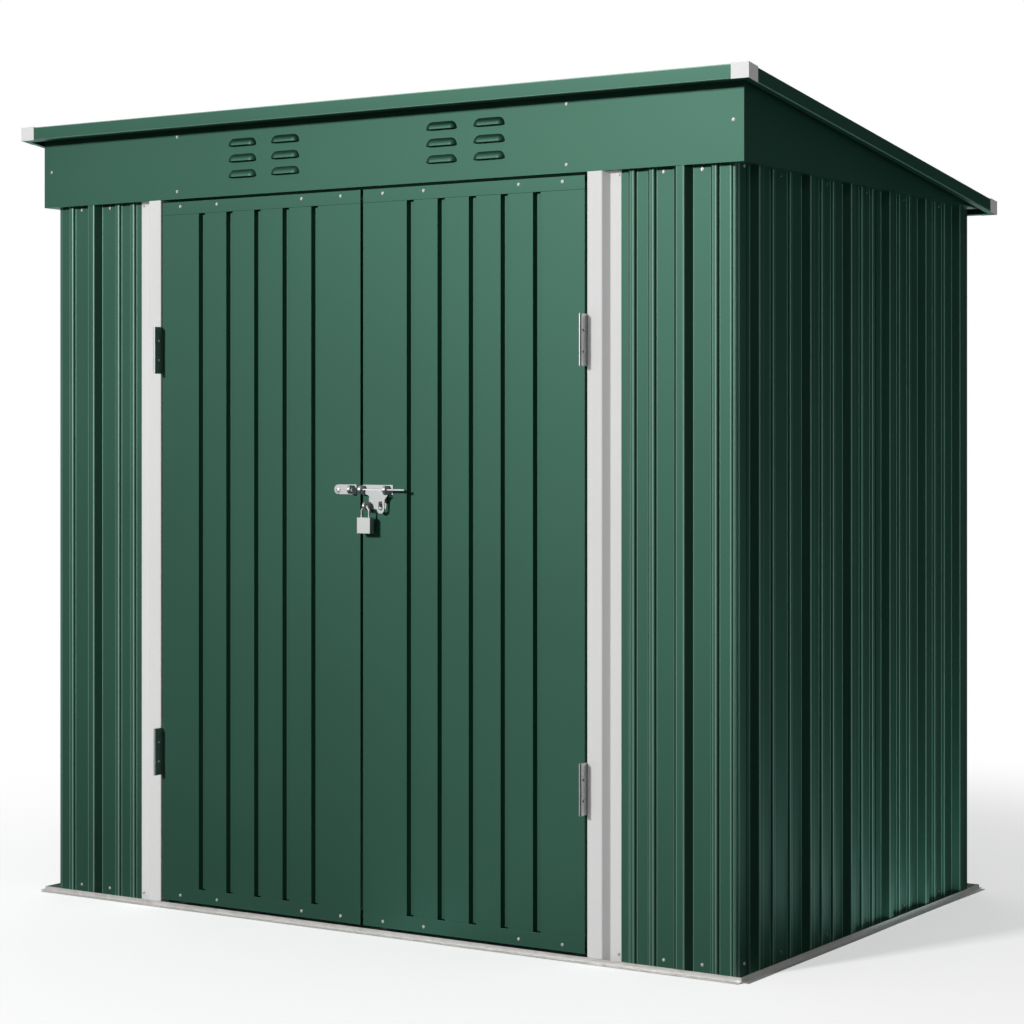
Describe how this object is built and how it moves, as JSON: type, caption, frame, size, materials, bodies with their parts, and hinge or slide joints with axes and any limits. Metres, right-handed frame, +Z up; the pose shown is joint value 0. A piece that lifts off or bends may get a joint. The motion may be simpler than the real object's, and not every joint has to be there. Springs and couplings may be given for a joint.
{
  "type": "metal storage shed",
  "caption": "Small ribbed-steel garden shed with a single-slope roof, louvred fascia, outward-opening double doors on proud hinges, and a padlocked sliding bolt.",
  "frame": {"origin": "on the ground, at the middle of the roof's plan", "axes": "+Z up, the doors face -Y, +X to the right as seen from the front"},
  "size_m": [1.802, 1.196, 1.6881],
  "materials": {
    "green_coated_steel": "semi-gloss coil coating",
    "white_coated_steel": "semi-gloss coil coating",
    "galvanised_steel": "hot-dip zinc, dull",
    "hinge_steel": "bright zinc plate",
    "bolt_steel": "bright zinc plate",
    "padlock_steel": "satin nickel plate"
  },
  "bodies": {
    "shell": {"left_front_panel": "green_coated_steel", "right_front_panel": "green_coated_steel", "left_side_front_sheet": "green_coated_steel", "left_side_rear_sheet": "green_coated_steel", "right_side_front_sheet": "green_coated_steel", "right_side_rear_sheet": "green_coated_steel", "rear_left_sheet": "green_coated_steel", "rear_right_sheet": "green_coated_steel", "front_top_rail": "green_coated_steel", "left_top_rail": "green_coated_steel", "right_top_rail": "green_coated_steel", "front_fascia": "green_coated_steel", "left_fascia": "green_coated_steel", "right_fascia": "green_coated_steel", "roof_left_sheet": "green_coated_steel", "roof_right_sheet": "green_coated_steel", "front_left_trim": "green_coated_steel", "front_right_trim": "green_coated_steel", "rear_trim": "green_coated_steel", "left_trim": "green_coated_steel", "right_trim": "green_coated_steel", "left_door_post": "white_coated_steel", "right_door_post": "white_coated_steel", "roof_corner_caps": "white_coated_steel", "front_base_rail": "galvanised_steel", "rear_base_rail": "galvanised_steel", "left_base_rail": "galvanised_steel", "right_base_rail": "galvanised_steel", "rear_top_rail": "galvanised_steel", "roof_beam": "galvanised_steel", "left_hinge_post_leaves": "hinge_steel", "right_hinge_post_leaves": "hinge_steel"},
    "left_door": {"left_door_panel": "green_coated_steel", "left_door_top_band": "green_coated_steel", "left_door_bottom_band": "green_coated_steel", "left_hinge_door_leaves": "hinge_steel", "lock_keeper": "bolt_steel"},
    "right_door": {"right_door_panel": "green_coated_steel", "right_door_top_band": "green_coated_steel", "right_door_bottom_band": "green_coated_steel", "right_hinge_door_leaves": "hinge_steel", "bolt_plate": "bolt_steel", "padlock": "padlock_steel"},
    "bolt": {"slide_bolt": "bolt_steel"}
  },
  "joints": [
    {"name": "left_door_hinge", "type": "hinge", "parent": "shell", "child": "left_door", "pos_m": [-0.5305, -0.578, 0.76], "axis": [0, 0, -1], "range_deg": [0, 170]},
    {"name": "right_door_hinge", "type": "hinge", "parent": "shell", "child": "right_door", "pos_m": [0.5305, -0.578, 0.76], "axis": [0, 0, 1], "range_deg": [0, 170]},
    {"name": "bolt_turn", "type": "hinge", "parent": "right_door", "child": "bolt", "pos_m": [0.05625, -0.5675, 0.898], "axis": [-1, 0, 0], "range_deg": [0, 165]}
  ]
}
